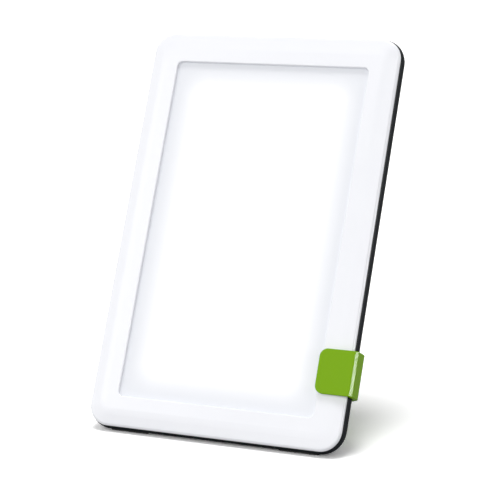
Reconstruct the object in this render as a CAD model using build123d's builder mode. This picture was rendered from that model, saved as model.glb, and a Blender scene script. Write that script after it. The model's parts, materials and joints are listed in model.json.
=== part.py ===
from build123d import *
import os
from math import atan2, cos, pi, radians, sin, tan

os.makedirs("parts", exist_ok=True)

# Light therapy lamp: a slim casing with a white front and a dished black back that leans
# on a green clip. The clip hooks round one side edge of the casing and carries a foot that
# swings out behind. All lengths are in millimetres and all angles in degrees.
#
# The casing is described in its own directions: x to the right, "up" along the tilted face
# from its bottom edge, and "depth" from the front face towards the back. The origin of the
# whole part is the middle of its footprint, on the floor, with the front facing -Y.

# ---- casing ----
TILT = 25                    # how far the face leans back from upright
BODY_WIDTH = 156
BODY_HEIGHT = 237
BODY_DEPTH = 23
CORNER_RADIUS = 13
SEAM_DEPTH = 3               # where the white front meets the black back
RIM_FLARE = 2                # how far the black rim spreads out between seam and slope
SLOPE_START = 7.5            # where the dished back starts to run in
BACK_INSET = 12.2            # how far the back face lies inside the rim
BACK_CORNER = 9
EDGE_ROUND = 6               # rounding of the rim into the slope
BACK_ROUND = 6               # rounding of the slope into the back face
SHELL_WALL = 2

# ---- front bezel ----
BEZEL_INSET = 1              # the white front stands this far inside the rim
CROWN_WIDTH = 8
CROWN_DROP = 1.2
CROWN_CORNER = 5
CREASE_ROUND = 25
BEZEL_EDGE_ROUND = 1.6
BEZEL_WALL = 2
WINDOW_SIDE = 18             # from the casing's side to the window
WINDOW_END = 18.5            # from the casing's top or bottom edge to the window
WINDOW_RADIUS = 3
WINDOW_EDGE_ROUND = 0.5
SKIRT_WALL = 1.4
SKIRT_END = 7                # depth of the skirt's inner end
SKIRT_GAP = 0.15             # the skirt slides into the rim with this clearance

# ---- optics behind the window ----
PANEL_LAP = 4                # how far the panel reaches under the bezel
PANEL_THICK = 2
GASKET_THICK = 0.8
GASKET_WIDTH = 3
TRAY_WALL = 1.2
TRAY_TAPER = 6
LED_BOARD_THICK = 1.6
LED_BOARD_SIDE = 16          # from the casing's side to the LED board
LED_BOARD_END = 7.5          # from the casing's top or bottom edge to the LED board
LED_COLUMNS = 6
LED_ROWS = 10
LED_PITCH = 18
LED_WIDTH = 3.5
LED_HEIGHT = 2.8
LED_RISE = 0.7

# ---- screws and posts ----
SHELL_SCREW_SIDE = 9         # distance of the shell screws from the casing's sides
SHELL_SCREW_END = 22         # distance of the end screws from the top and bottom edges
SHELL_SCREW_ROWS = 3
SEAT_SINK = 9                # the heads of the shell screws seat this far below the back
SCREW_TIP_DEPTH = 5          # where the shell screws end behind the face
SEAT_WEB = 2
RECESS_RADIUS = 3.2
RECESS_WALL = 1.2
BOSS_RADIUS = 3
SCREW_RADIUS = 1.25
SCREW_HEAD_RADIUS = 2.5
SCREW_HEAD_HEIGHT = 1.8
SCREW_CLEARANCE = 0.3
SOCKET_RADIUS = 1
SOCKET_DEPTH = 1
BOARD_SCREW_SIDE = 12        # distance of its screws from the LED board's sides
BOARD_SCREW_END = 3.5        # distance of its screws from the LED board's ends
SMALL_SCREW_RADIUS = 1
SMALL_HEAD_RADIUS = 2
SMALL_HEAD_HEIGHT = 1.1
SMALL_SCREW_LENGTH = 5
POST_RADIUS = 2.6
THREAD_GAP = 0.03            # bore over screw radius in the posts

# ---- driver board and what it carries ----
DRIVER_SHIFT = 1.5           # from the middle of the casing's depth to the driver board
DRIVER_THICK = 1.6
DRIVER_WIDTH = 40
DRIVER_HEIGHT = 100
DRIVER_SIDE = 16             # from the casing's side to the driver board
DRIVER_TOP = 37              # from the casing's top edge to the driver board
DRIVER_HOLE_INSET = 4
HEADER_LENGTH = 2            # between the LED board and the driver board
HEADER_WIDTH = 10
HEADER_HEIGHT = 2.5
HEADER_SHIFT = -8            # the shifts are taken from the middle of the driver board
INDUCTOR_RADIUS = 4.5
INDUCTOR_HEADROOM = 1.8      # the headrooms are taken from the shell's back wall
INDUCTOR_SHIFT = -12
CAPACITOR_RADIUS = 2.5
CAPACITOR_HEADROOM = 1
CAPACITOR_SHIFT = -25
CAPACITOR_PITCH = 8
CHIP_SIZE = 5
CHIP_HEIGHT = 1.5
CHIP_SHIFT_X = 8
CHIP_SHIFT_UP = 6
COMPONENT_BEVEL = 0.5

# ---- power inlet ----
JACK_RISE = 12               # above the driver board's lower edge
JACK_BODY = 9
JACK_COLLAR_RADIUS = 4
JACK_SINK = 0.3              # the collar ends this far inside the back face
JACK_BORE_RADIUS = 3
JACK_FLOOR = 1
JACK_PIN_RADIUS = 1
JACK_PIN_SINK = 0.9
JACK_GAP = 0.2

# ---- power button ----
BUTTON_DROP = 16             # below the driver board's upper edge
BUTTON_RADIUS = 7
BUTTON_PROUD = 1.2
BUTTON_DISH = 0.5
BUTTON_RIM = 0.8             # flat rim round the dish
BUTTON_EDGE_ROUND = 0.4
BUTTON_GAP = 0.3
BUTTON_TRAVEL = 0.8
FLANGE_RADIUS = 8.4
FLANGE_THICK = 1.1
FLANGE_GAP = 0.2
GUIDE_WALL = 1.2
GUIDE_LENGTH = 2.4
SWITCH_SIZE = 6
SWITCH_HEADROOM = 2.9        # between the switch and the shell's back wall
PLUNGER_RADIUS = 1.7
PLUNGER_GAP = 0.2
PLUNGER_REST = 0.3           # how deep the plunger stands in its hole at rest
PLUNGER_SPARE = 0.3          # what is left of the hole when the button is pressed

# ---- vents ----
VENT_COUNT = 9
VENT_PITCH = 5
VENT_WIDTH = 2
VENT_HEIGHT = 20
VENT_SIDE = 56               # from the casing's left side to the middle of the slots

# ---- bottom feet ----
FOOT_PROUD = 0.4
FOOT_POCKET = 1.1
FOOT_LENGTH = 24
FOOT_WIDTH = 5
FOOT_CORNER = 1.5
FOOT_SIDE = 26               # from the casing's side to the middle of a foot
FOOT_BACKING = 1.6           # extra material round each pad's pocket

# ---- stand channel in the rear shell ----
CLIP_LOW = 32                # lower edge of the clip above the bottom edge
CLIP_HEIGHT = 25
CHANNEL_GAP = 0.5            # between the channel's sides and the clip
CHANNEL_DEPTH = 5.5
CHANNEL_END = 16             # from the casing's left side to the channel's closed end
CHANNEL_SPARE = 2.4          # between that end and the tip of the folded foot
CHANNEL_CORNER = 1
NOTCH_RADIUS = 18            # finger notch across the channel near its closed end
NOTCH_INSET = 14
NOTCH_DEPTH = 4

# ---- stand hook ----
TAB_REACH = 22               # how far the front tab reaches in from the clip's side
TAB_THICK = 2
TAB_GAP = 0.3                # front tab to the bezel's face
TAB_CORNER = 4.5
HOOK_SIDE_WALL = 2.7
HOOK_GAP = 0.3               # round the casing's side and the channel floor
HOOK_BEVEL = 1.6             # flat along the bend from the tab to the side
HOOK_BEVEL_ROUND = 0.7       # rounding between that flat and its neighbours
HOOK_EDGE_ROUND = 0.4
HOOK_BEND_IN = 1
HOOK_BACK_ROUND = 5
BAND_SKIN = 1.8
BAND_POCKETS = 4
POCKET_RIB = 1.6
POCKET_START_GAP = 4.5       # from the hinge axis to the first pocket
POCKET_END_GAP = 5           # from the last pocket to the end of the channel floor

# ---- hinge ----
PIN_RADIUS = 1.2
PIN_GAP = 0.05
PIN_SINK = 0.5               # the pin's ends lie this far inside the knuckles
PIN_BEVEL = 0.4
KNUCKLE_LENGTH = 6
WASHER_THICK = 0.5
WASHER_INSET = 0.2           # washer rim inside the knuckle's rim
KNUCKLE_GAP = 0.1

# ---- foot ----
LEAF_END_DEPTH = 90
LEAF_GAP = 0.3
LEAF_SKIN = 1.8
LEAF_WALL = 1.8
LEAF_RIB = 1.4
LEAF_RIBS = 4
LEAF_TIP_HEIGHT = 9          # height of the leaf's end above its pad
LEAF_SHOULDER = 12           # straight top edge before it slopes down
LEAF_TIP_ROUND = 3
LEAF_CORNER = 1
LEAF_EDGE_ROUND = 0.4
PAD_THICK = 1.2
PAD_LIFT = 0.5               # clearance of the leaf's lower edge where the pad starts

NEAR = 0.01                  # tolerance for picking edges by position

# ---- worked-out directions and reaches ----
tilt = radians(TILT)
rim_inset = BEZEL_INSET - RIM_FLARE   # of the rim's corner before it is rounded
flare = atan2(RIM_FLARE, SLOPE_START - SEAM_DEPTH)
slope = atan2(BACK_INSET - rim_inset, BODY_DEPTH - SLOPE_START)
X_DIR = Vector(1, 0, 0)
UP_DIR = Vector(0, sin(tilt), cos(tilt))
DEPTH_DIR = Vector(0, cos(tilt), -sin(tilt))

# The lowest line of the casing lies on the rounding of the rim into the slope.
rim_tangent = EDGE_ROUND * tan((flare + slope) / 2)
rim_centre_up = rim_inset + rim_tangent * sin(flare) + EDGE_ROUND * cos(flare)
rim_centre_depth = SLOPE_START - rim_tangent * cos(flare) + EDGE_ROUND * sin(flare)
rim_reach = BODY_WIDTH / 2 - rim_centre_up + EDGE_ROUND
lowest = rim_centre_up * cos(tilt) - rim_centre_depth * sin(tilt) - EDGE_ROUND
# The front reach lies on the bezel's lower edge rounding, the rear reach on the rounding
# of the back face at the top.
crown_pitch = CROWN_DROP / CROWN_WIDTH
crown_turn = atan2(CROWN_DROP, CROWN_WIDTH)
bezel_centre_up = BEZEL_INSET + BEZEL_EDGE_ROUND
bezel_centre_depth = CROWN_DROP + BEZEL_EDGE_ROUND * (1 / cos(crown_turn) - crown_pitch)
front_reach = bezel_centre_up * sin(tilt) + bezel_centre_depth * cos(tilt) - BEZEL_EDGE_ROUND
back_centre_up = BODY_HEIGHT - BACK_INSET - BACK_ROUND * tan((pi / 2 - slope) / 2)
back_centre_depth = BODY_DEPTH - BACK_ROUND
rear_reach = back_centre_up * sin(tilt) + back_centre_depth * cos(tilt) + BACK_ROUND

hook_inner_x = rim_reach + HOOK_GAP
hook_outer_x = hook_inner_x + HOOK_SIDE_WALL
edge_x = -(hook_outer_x - rim_reach) / 2
edge_y = -(front_reach + rear_reach) / 2
edge_z = FOOT_PROUD - lowest
EDGE_POINT = Vector(edge_x, edge_y, edge_z)   # middle of the face's bottom edge


def place(x, up, depth):
    """Turn a position on the casing into a point of the part."""
    return EDGE_POINT + X_DIR * x + UP_DIR * up + DEPTH_DIR * depth


def level(depth):
    """Plane parallel to the face at a depth, centred on the casing, facing outwards."""
    return Plane(origin=place(0, BODY_HEIGHT / 2, depth), x_dir=X_DIR, z_dir=-DEPTH_DIR)


def section(up):
    """Plane across the casing at a height, with x to the right and y as depth."""
    return Plane(origin=place(0, up, 0), x_dir=X_DIR, z_dir=UP_DIR)


def side(x):
    """Plane seen from the side at a position x, with x as depth and y as height."""
    return Plane(origin=place(x, 0, 0), x_dir=DEPTH_DIR, z_dir=X_DIR)


def at(x, up):
    """Position on a level plane for a place given from the bottom edge."""
    return (x, up - BODY_HEIGHT / 2)


face_axis = Axis(place(0, 0, 0), DEPTH_DIR)
x_axis = Axis(place(0, 0, 0), X_DIR)
up_axis = Axis(place(0, 0, 0), UP_DIR)


def slope_inset(gap, depth):
    """Inset from the casing's side, at a depth, of a line this far inside its slope."""
    return rim_inset + (depth - SLOPE_START) * tan(slope) + gap / cos(slope)


def edges_at(part, depth):
    """Edges of a part that lie at one depth."""
    return part.edges().filter_by_position(face_axis, depth - NEAR, depth + NEAR)


def slab(depth_from, depth_to, width, height, radius, mode=Mode.ADD):
    """Rounded rectangle centred on the casing, from one depth to another."""
    with BuildSketch(level(depth_to)) as outline:
        RectangleRounded(width, height, radius)
    extrude(outline.sketch, amount=depth_to - depth_from, mode=mode)


def frustum(depth_from, depth_to, size_from, size_to, mode=Mode.ADD):
    """Straight-sided transition between two rounded rectangles (width, height, radius)."""
    with BuildSketch(level(depth_from)) as outline_from:
        RectangleRounded(*size_from)
    with BuildSketch(level(depth_to)) as outline_to:
        RectangleRounded(*size_to)
    loft([outline_from.sketch, outline_to.sketch], ruled=True, mode=mode)


def rods(depth_from, depth_to, radius, places, mode=Mode.ADD):
    """Round bars along the depth at a list of places."""
    with BuildSketch(level(depth_to)) as circles:
        with Locations(*places):
            Circle(radius)
    extrude(circles.sketch, amount=depth_to - depth_from, mode=mode)


def blocks(depth_from, depth_to, width, height, places, mode=Mode.ADD):
    """Rectangular blocks along the depth at a list of places."""
    with BuildSketch(level(depth_to)) as rectangles:
        with Locations(*places):
            Rectangle(width, height)
    extrude(rectangles.sketch, amount=depth_to - depth_from, mode=mode)


def screws(seat, head_radius, head_height, radius, length, places):
    """Pan-head screws with sockets, driven towards the front from their seats."""
    rods(seat, seat + head_height, head_radius, places)
    rods(seat - length, seat, radius, places)
    rods(seat + head_height - SOCKET_DEPTH, seat + head_height, SOCKET_RADIUS, places,
         mode=Mode.SUBTRACT)


def finish(builder, name):
    """Label a piece and write it as one STEP file."""
    builder.part.label = name
    export_step(builder.part, f"parts/{name}.step")


# ---- sizes that follow from the ones above ----
bezel_width = BODY_WIDTH - 2 * BEZEL_INSET
bezel_height = BODY_HEIGHT - 2 * BEZEL_INSET
bezel_corner = CORNER_RADIUS - BEZEL_INSET
hollow_inset = BEZEL_INSET + SHELL_WALL
skirt_inset = hollow_inset + SKIRT_GAP
skirt_width = BODY_WIDTH - 2 * skirt_inset
skirt_height = BODY_HEIGHT - 2 * skirt_inset
skirt_corner = CORNER_RADIUS - skirt_inset

window_width = BODY_WIDTH - 2 * WINDOW_SIDE
window_height = BODY_HEIGHT - 2 * WINDOW_END
panel_width = window_width + 2 * PANEL_LAP
panel_height = window_height + 2 * PANEL_LAP
led_board_width = BODY_WIDTH - 2 * LED_BOARD_SIDE
led_board_height = BODY_HEIGHT - 2 * LED_BOARD_END

# The stack of depths: the panel and its gasket hang from the bezel, the two boards stand
# near the middle of the casing, and the tray fills what is left between them.
panel_back = BEZEL_WALL + PANEL_THICK
gasket_back = panel_back + GASKET_THICK
inner_back = BODY_DEPTH - SHELL_WALL
driver_front = BODY_DEPTH / 2 + DRIVER_SHIFT
driver_back = driver_front + DRIVER_THICK
board_back = driver_front - HEADER_LENGTH
tray_back = board_back - LED_BOARD_THICK

screw_span = BODY_HEIGHT - 2 * SHELL_SCREW_END
screw_ups = [SHELL_SCREW_END + screw_span * row / (SHELL_SCREW_ROWS - 1)
             for row in range(SHELL_SCREW_ROWS)]
shell_screw_x = BODY_WIDTH / 2 - SHELL_SCREW_SIDE
shell_screw_places = [at(sign * shell_screw_x, up) for sign in (-1, 1) for up in screw_ups]
seat_depth = BODY_DEPTH - SEAT_SINK
boss_end = seat_depth - SEAT_WEB
board_screw_x = led_board_width / 2 - BOARD_SCREW_SIDE
board_screw_end = LED_BOARD_END + BOARD_SCREW_END
board_screw_places = [at(sign * board_screw_x, up) for sign in (-1, 1)
                      for up in (board_screw_end, BODY_HEIGHT - board_screw_end)]
driver_x = BODY_WIDTH / 2 - DRIVER_SIDE - DRIVER_WIDTH / 2
driver_up = BODY_HEIGHT - DRIVER_TOP - DRIVER_HEIGHT / 2
jack_up = driver_up - DRIVER_HEIGHT / 2 + JACK_RISE
button_up = driver_up + DRIVER_HEIGHT / 2 - BUTTON_DROP
driver_reach_x = DRIVER_WIDTH / 2 - DRIVER_HOLE_INSET
driver_reach_up = DRIVER_HEIGHT / 2 - DRIVER_HOLE_INSET
driver_places = [at(driver_x + i * driver_reach_x, driver_up + j * driver_reach_up)
                 for i in (-1, 1) for j in (-1, 1)]
jack_place = [at(driver_x, jack_up)]
button_place = [at(driver_x, button_up)]

channel_floor = BODY_DEPTH - CHANNEL_DEPTH
channel_end_x = CHANNEL_END - BODY_WIDTH / 2
channel_low = CLIP_LOW - CHANNEL_GAP
channel_height = CLIP_HEIGHT + 2 * CHANNEL_GAP
clip_high = CLIP_LOW + CLIP_HEIGHT
clip_mid = CLIP_LOW + CLIP_HEIGHT / 2
notch_place = [at(channel_end_x + NOTCH_INSET, clip_mid)]
band_inner = channel_floor + HOOK_GAP
band_thick = BODY_DEPTH - band_inner
hinge_depth = band_inner + band_thick / 2
hinge_radius = band_thick / 2
hinge_x = channel_end_x + CHANNEL_SPARE + LEAF_END_DEPTH - hinge_depth

lowest_line_y = edge_y + rim_centre_up * sin(tilt) + rim_centre_depth * cos(tilt)
foot_pocket_top = FOOT_PROUD + FOOT_POCKET
foot_spread = BODY_WIDTH / 2 - FOOT_SIDE
foot_places = [(edge_x + sign * foot_spread, lowest_line_y) for sign in (-1, 1)]

# ---- front bezel: crowned white frame with a skirt, screw bosses and board posts ----
with BuildPart() as front_bezel:
    slab(CROWN_DROP, SEAM_DEPTH, bezel_width, bezel_height, bezel_corner)
    frustum(CROWN_DROP, 0, (bezel_width, bezel_height, bezel_corner),
            (bezel_width - 2 * CROWN_WIDTH, bezel_height - 2 * CROWN_WIDTH, CROWN_CORNER))
    fillet(edges_at(front_bezel, CROWN_DROP), radius=BEZEL_EDGE_ROUND)
    fillet(edges_at(front_bezel, 0), radius=CREASE_ROUND)
    slab(SEAM_DEPTH, SKIRT_END, skirt_width, skirt_height, skirt_corner)
    slab(BEZEL_WALL, SKIRT_END, skirt_width - 2 * SKIRT_WALL, skirt_height - 2 * SKIRT_WALL,
         skirt_corner - SKIRT_WALL, mode=Mode.SUBTRACT)
    slab(0, BEZEL_WALL, window_width, window_height, WINDOW_RADIUS, mode=Mode.SUBTRACT)
    window_edges = edges_at(front_bezel, 0).filter_by_position(
        x_axis, -window_width / 2 - NEAR, window_width / 2 + NEAR)
    window_top = BODY_HEIGHT - WINDOW_END
    fillet(window_edges.filter_by_position(up_axis, WINDOW_END - NEAR, window_top + NEAR),
           radius=WINDOW_EDGE_ROUND)
    rods(BEZEL_WALL, boss_end, BOSS_RADIUS, shell_screw_places)
    rods(BEZEL_WALL, tray_back, POST_RADIUS, board_screw_places)
    rods(SCREW_TIP_DEPTH - SCREW_CLEARANCE, boss_end, SCREW_RADIUS + THREAD_GAP,
         shell_screw_places, mode=Mode.SUBTRACT)
    rods(board_back - SMALL_SCREW_LENGTH - SCREW_CLEARANCE, tray_back,
         SMALL_SCREW_RADIUS + THREAD_GAP, board_screw_places, mode=Mode.SUBTRACT)
finish(front_bezel, "front_bezel")

# ---- diffuser panel and its foam gasket ----
with BuildPart() as diffuser_panel:
    slab(BEZEL_WALL, panel_back, panel_width, panel_height, WINDOW_RADIUS)
finish(diffuser_panel, "diffuser_panel")

with BuildPart() as diffuser_gasket:
    slab(panel_back, gasket_back, panel_width, panel_height, WINDOW_RADIUS)
    slab(panel_back, gasket_back, panel_width - 2 * GASKET_WIDTH,
         panel_height - 2 * GASKET_WIDTH, WINDOW_RADIUS, mode=Mode.SUBTRACT)
finish(diffuser_gasket, "diffuser_gasket")

# ---- reflector tray: a frame whose walls run in towards the LED board ----
tray_front = (panel_width, panel_height, WINDOW_RADIUS)
tray_rear = (panel_width - 2 * TRAY_TAPER, panel_height - 2 * TRAY_TAPER, WINDOW_RADIUS)
with BuildPart() as reflector_tray:
    frustum(gasket_back, tray_back, tray_front, tray_rear)
    frustum(gasket_back, tray_back,
            (tray_front[0] - 2 * TRAY_WALL, tray_front[1] - 2 * TRAY_WALL, WINDOW_RADIUS),
            (tray_rear[0] - 2 * TRAY_WALL, tray_rear[1] - 2 * TRAY_WALL, WINDOW_RADIUS),
            mode=Mode.SUBTRACT)
finish(reflector_tray, "reflector_tray")

# ---- LED board, its packages and the screws into the bezel posts ----
with BuildPart() as led_board:
    slab(tray_back, board_back, led_board_width, led_board_height, WINDOW_RADIUS)
    rods(tray_back, board_back, SMALL_SCREW_RADIUS + SCREW_CLEARANCE, board_screw_places,
         mode=Mode.SUBTRACT)
finish(led_board, "led_board")

with BuildPart() as led_packages:
    with BuildSketch(level(tray_back)):
        with GridLocations(LED_PITCH, LED_PITCH, LED_COLUMNS, LED_ROWS):
            Rectangle(LED_WIDTH, LED_HEIGHT)
    extrude(amount=LED_RISE)
finish(led_packages, "led_packages")

with BuildPart() as board_screws:
    screws(board_back, SMALL_HEAD_RADIUS, SMALL_HEAD_HEIGHT, SMALL_SCREW_RADIUS,
           SMALL_SCREW_LENGTH, board_screw_places)
finish(board_screws, "board_screws")

# ---- rear shell: dished moulding; its hollow is made first as a body of its own ----
hollow_rear_inset = slope_inset(SHELL_WALL, inner_back)
hollow_start = inner_back - (hollow_rear_inset - hollow_inset) / tan(slope)
hollow_front = (BODY_WIDTH - 2 * hollow_inset, BODY_HEIGHT - 2 * hollow_inset,
                CORNER_RADIUS - hollow_inset)
hollow_rear = (BODY_WIDTH - 2 * hollow_rear_inset, BODY_HEIGHT - 2 * hollow_rear_inset,
               BACK_CORNER - SHELL_WALL)
rim_corner = (BODY_WIDTH - 2 * rim_inset, BODY_HEIGHT - 2 * rim_inset,
              CORNER_RADIUS - rim_inset)
with BuildPart() as shell_hollow:
    slab(SEAM_DEPTH, hollow_start, *hollow_front)
    frustum(hollow_start, inner_back, hollow_front, hollow_rear)
    # walls of the stand channel
    with BuildSketch(section(channel_low - SHELL_WALL)):
        with Locations((channel_end_x - SHELL_WALL, channel_floor - SHELL_WALL)):
            Rectangle(BODY_WIDTH, BODY_DEPTH, align=(Align.MIN, Align.MIN))
    extrude(amount=channel_height + 2 * SHELL_WALL, mode=Mode.SUBTRACT)
    rods(BODY_DEPTH - NOTCH_DEPTH - SHELL_WALL, BODY_DEPTH, NOTCH_RADIUS + SHELL_WALL,
         notch_place, mode=Mode.SUBTRACT)
    # bosses of the shell screws and of the driver board
    rods(boss_end, BODY_DEPTH, RECESS_RADIUS + RECESS_WALL, shell_screw_places,
         mode=Mode.SUBTRACT)
    rods(driver_back, BODY_DEPTH, POST_RADIUS, driver_places, mode=Mode.SUBTRACT)
    # guide ring of the power button
    with BuildSketch(level(BODY_DEPTH)):
        with Locations(*button_place):
            Circle(FLANGE_RADIUS + BUTTON_GAP + GUIDE_WALL)
            Circle(FLANGE_RADIUS + BUTTON_GAP, mode=Mode.SUBTRACT)
    extrude(amount=BODY_DEPTH - inner_back + GUIDE_LENGTH, mode=Mode.SUBTRACT)
    # thicker wall round the pockets of the bottom feet
    with BuildSketch(Plane.XY.offset(0)):
        with Locations(*foot_places):
            Rectangle(FOOT_LENGTH + 2 * FOOT_BACKING, FOOT_WIDTH + 2 * FOOT_BACKING)
    extrude(amount=foot_pocket_top + FOOT_BACKING, mode=Mode.SUBTRACT)

with BuildPart() as rear_shell:
    frustum(SEAM_DEPTH, SLOPE_START, (bezel_width, bezel_height, bezel_corner), rim_corner)
    frustum(SLOPE_START, BODY_DEPTH, rim_corner,
            (BODY_WIDTH - 2 * BACK_INSET, BODY_HEIGHT - 2 * BACK_INSET, BACK_CORNER))
    fillet(edges_at(rear_shell, SLOPE_START), radius=EDGE_ROUND)
    fillet(edges_at(rear_shell, BODY_DEPTH), radius=BACK_ROUND)
    add(shell_hollow.part, mode=Mode.SUBTRACT)
    # channel of the stand, open at the right, with the finger notch
    with BuildSketch(level(BODY_DEPTH)) as channel_sketch:
        with Locations(at(channel_end_x, channel_low)):
            Rectangle(BODY_WIDTH, channel_height, align=(Align.MIN, Align.MIN))
        fillet(channel_sketch.vertices().group_by(Axis.X)[0], radius=CHANNEL_CORNER)
    extrude(amount=CHANNEL_DEPTH, mode=Mode.SUBTRACT)
    rods(BODY_DEPTH - NOTCH_DEPTH, BODY_DEPTH, NOTCH_RADIUS, notch_place, mode=Mode.SUBTRACT)
    # screw recesses, inlet, button hole, vents, pockets of the feet
    rods(seat_depth, BODY_DEPTH, RECESS_RADIUS, shell_screw_places, mode=Mode.SUBTRACT)
    rods(boss_end, seat_depth, SCREW_RADIUS + SCREW_CLEARANCE, shell_screw_places,
         mode=Mode.SUBTRACT)
    rods(driver_back, driver_front + SMALL_SCREW_LENGTH + SCREW_CLEARANCE,
         SMALL_SCREW_RADIUS + THREAD_GAP, driver_places, mode=Mode.SUBTRACT)
    rods(inner_back, BODY_DEPTH, JACK_COLLAR_RADIUS + JACK_GAP, jack_place,
         mode=Mode.SUBTRACT)
    rods(inner_back, BODY_DEPTH, BUTTON_RADIUS + BUTTON_GAP, button_place,
         mode=Mode.SUBTRACT)
    with BuildSketch(level(BODY_DEPTH)):
        with Locations(at(VENT_SIDE - BODY_WIDTH / 2, button_up)):
            with GridLocations(VENT_PITCH, 0, VENT_COUNT, 1):
                SlotOverall(VENT_HEIGHT, VENT_WIDTH, rotation=90)
    extrude(amount=SHELL_WALL, mode=Mode.SUBTRACT)
    with BuildSketch(Plane.XY):
        with Locations(*foot_places):
            RectangleRounded(FOOT_LENGTH, FOOT_WIDTH, FOOT_CORNER)
    extrude(amount=foot_pocket_top, mode=Mode.SUBTRACT)
finish(rear_shell, "rear_shell")

with BuildPart() as shell_screws:
    screws(seat_depth, SCREW_HEAD_RADIUS, SCREW_HEAD_HEIGHT, SCREW_RADIUS,
           seat_depth - SCREW_TIP_DEPTH, shell_screw_places)
finish(shell_screws, "shell_screws")

with BuildPart() as bottom_feet:
    with BuildSketch(Plane.XY):
        with Locations(*foot_places):
            RectangleRounded(FOOT_LENGTH, FOOT_WIDTH, FOOT_CORNER)
    extrude(amount=foot_pocket_top)
finish(bottom_feet, "bottom_feet")

# ---- driver board with its parts ----
with BuildPart() as driver_board:
    blocks(driver_front, driver_back, DRIVER_WIDTH, DRIVER_HEIGHT, [at(driver_x, driver_up)])
    rods(driver_front, driver_back, SMALL_SCREW_RADIUS + SCREW_CLEARANCE, driver_places,
         mode=Mode.SUBTRACT)
finish(driver_board, "driver_board")

with BuildPart() as driver_screws:
    rods(driver_front - SMALL_HEAD_HEIGHT, driver_front, SMALL_HEAD_RADIUS, driver_places)
    rods(driver_front, driver_front + SMALL_SCREW_LENGTH, SMALL_SCREW_RADIUS, driver_places)
    rods(driver_front - SMALL_HEAD_HEIGHT, driver_front - SMALL_HEAD_HEIGHT / 2,
         SOCKET_RADIUS, driver_places, mode=Mode.SUBTRACT)
finish(driver_screws, "driver_screws")

with BuildPart() as pin_header:
    blocks(board_back, driver_front, HEADER_WIDTH, HEADER_HEIGHT,
           [at(driver_x + HEADER_SHIFT, driver_up)])
finish(pin_header, "pin_header")

inductor_top = inner_back - INDUCTOR_HEADROOM
with BuildPart() as driver_inductor:
    rods(driver_back, inductor_top, INDUCTOR_RADIUS,
         [at(driver_x, driver_up + INDUCTOR_SHIFT)])
    chamfer(edges_at(driver_inductor, inductor_top), length=COMPONENT_BEVEL)
finish(driver_inductor, "driver_inductor")

capacitor_top = inner_back - CAPACITOR_HEADROOM
capacitor_places = [at(driver_x + sign * CAPACITOR_PITCH / 2, driver_up + CAPACITOR_SHIFT)
                    for sign in (-1, 1)]
with BuildPart() as driver_capacitors:
    rods(driver_back, capacitor_top, CAPACITOR_RADIUS, capacitor_places)
    chamfer(edges_at(driver_capacitors, capacitor_top), length=COMPONENT_BEVEL)
finish(driver_capacitors, "driver_capacitors")

with BuildPart() as driver_chip:
    blocks(driver_back, driver_back + CHIP_HEIGHT, CHIP_SIZE, CHIP_SIZE,
           [at(driver_x + CHIP_SHIFT_X, driver_up + CHIP_SHIFT_UP)])
finish(driver_chip, "driver_chip")

# ---- power inlet: square body, round collar in the back's hole, bore with centre pin ----
collar_end = BODY_DEPTH - JACK_SINK
with BuildPart() as dc_jack:
    blocks(driver_back, inner_back, JACK_BODY, JACK_BODY, jack_place)
    rods(inner_back, collar_end, JACK_COLLAR_RADIUS, jack_place)
    rods(driver_back + JACK_FLOOR, collar_end, JACK_BORE_RADIUS, jack_place,
         mode=Mode.SUBTRACT)
    rods(driver_back + JACK_FLOOR, collar_end - JACK_PIN_SINK, JACK_PIN_RADIUS, jack_place)
finish(dc_jack, "dc_jack")

# ---- switch housing, its plunger and the button cap over them ----
switch_top = inner_back - SWITCH_HEADROOM
flange_top = inner_back - FLANGE_GAP
flange_bottom = flange_top - FLANGE_THICK
cap_top = BODY_DEPTH + BUTTON_PROUD
with BuildPart() as tact_switch:
    blocks(driver_back, switch_top, SWITCH_SIZE, SWITCH_SIZE, button_place)
    rods(switch_top - PLUNGER_REST - BUTTON_TRAVEL - PLUNGER_SPARE, switch_top,
         PLUNGER_RADIUS + PLUNGER_GAP, button_place, mode=Mode.SUBTRACT)
finish(tact_switch, "tact_switch")

with BuildPart() as switch_plunger:
    rods(switch_top - PLUNGER_REST, flange_bottom, PLUNGER_RADIUS, button_place)
finish(switch_plunger, "switch_plunger")

# The dish is the cap of a sphere that reaches BUTTON_DISH deep over the dished width.
dish_radius = BUTTON_RADIUS - BUTTON_RIM
dish_ball = (dish_radius**2 + BUTTON_DISH**2) / (2 * BUTTON_DISH)
with BuildPart() as power_button:
    rods(flange_bottom, flange_top, FLANGE_RADIUS, button_place)
    rods(flange_top, cap_top, BUTTON_RADIUS, button_place)
    fillet(edges_at(power_button, cap_top), radius=BUTTON_EDGE_ROUND)
    with Locations(place(driver_x, button_up, cap_top - BUTTON_DISH + dish_ball)):
        Sphere(dish_ball, mode=Mode.SUBTRACT)
finish(power_button, "power_button")

# ---- stand hook: tab over the face, side round the edge, band in the back's channel ----
tab_x = hook_outer_x - TAB_REACH
tab_front = -TAB_GAP - TAB_THICK
band_end_x = hinge_x + hinge_radius + LEAF_GAP


def beside_slope(gap, depth):
    """Position x of a line that runs beside the casing's slope at a distance from it."""
    return BODY_WIDTH / 2 - slope_inset(-gap, depth)


def slope_depth(gap, x):
    """Depth at which that line reaches a position x."""
    return SLOPE_START + (beside_slope(gap, SLOPE_START) - x) / tan(slope)


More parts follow.
